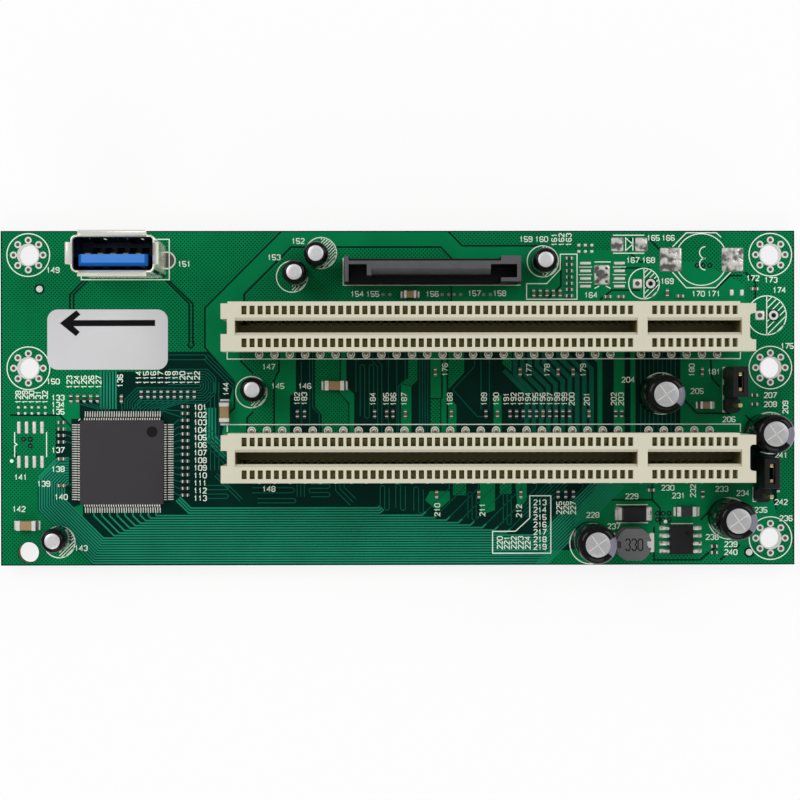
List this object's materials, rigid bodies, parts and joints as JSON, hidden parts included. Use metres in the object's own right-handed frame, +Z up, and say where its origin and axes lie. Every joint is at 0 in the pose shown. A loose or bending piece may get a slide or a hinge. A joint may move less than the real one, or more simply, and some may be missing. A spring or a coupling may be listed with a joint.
{
  "type": "pcie to pci adapter card",
  "caption": "Flat green circuit board that carries upright card slots, a data socket and a power plug, so that older expansion cards can be driven through a cable.",
  "frame": {"origin": "under the middle of the board, level with the tips of the soldered tails on its underside", "axes": "+X along the board towards the keyed end of the slots, +Y across the board towards the data socket, +Z up from the component side"},
  "size_m": [0.132, 0.0556, 0.0184],
  "materials": {
    "board": "green solder mask over copper",
    "slot_plastic": "cream moulding",
    "contact_metal": "gold flash",
    "socket_shell": "nickel-plated sheet",
    "blue_plastic": "blue moulding",
    "black_plastic": "black moulding",
    "tinned_metal": "tinned",
    "solder": "solder",
    "ferrite": "pressed ferrite",
    "copper_wire": "enamelled wire",
    "can_sleeve": "shrink sleeve over aluminium",
    "brown_ceramic": "fired ceramic with tinned ends",
    "black_ceramic": "glazed film with tinned ends",
    "label": "printed sheet"
  },
  "bodies": {
    "root": {"arrow_label": "label", "bridge_chip_body": "black_plastic", "bridge_chip_leads": "tinned_metal", "ceramic_capacitor_1": "brown_ceramic", "ceramic_capacitor_2": "brown_ceramic", "ceramic_capacitor_3": "brown_ceramic", "ceramic_capacitor_4": "brown_ceramic", "ceramic_capacitor_5": "brown_ceramic", "chip_capacitors": "brown_ceramic", "chip_resistors": "black_ceramic", "circuit_board": "board", "data_socket_contacts": "contact_metal", "data_socket_insulator": "blue_plastic", "data_socket_shell": "socket_shell", "diode_body": "black_plastic", "diode_leads": "tinned_metal", "inductor_core": "ferrite", "inductor_terminals": "tinned_metal", "inductor_winding": "copper_wire", "large_capacitor_1": "can_sleeve", "large_capacitor_2": "can_sleeve", "large_capacitor_3": "can_sleeve", "large_capacitor_4": "can_sleeve", "lead_solder_joints": "solder", "link_resistor": "black_ceramic", "lower_header_base": "black_plastic", "lower_header_pins": "contact_metal", "lower_jumper_cap": "black_plastic", "lower_jumper_clip": "contact_metal", "lower_slot_contacts": "contact_metal", "lower_slot_housing": "slot_plastic", "power_plug_contacts": "contact_metal", "power_plug_housing": "black_plastic", "regulator_body": "black_plastic", "regulator_leads": "tinned_metal", "small_capacitor_1": "can_sleeve", "small_capacitor_2": "can_sleeve", "small_capacitor_3": "can_sleeve", "small_capacitor_4": "can_sleeve", "small_capacitor_5": "can_sleeve", "upper_header_base": "black_plastic", "upper_header_pins": "contact_metal", "upper_jumper_cap": "black_plastic", "upper_jumper_clip": "contact_metal", "upper_slot_contacts": "contact_metal", "upper_slot_housing": "slot_plastic"}
  },
  "joints": []
}
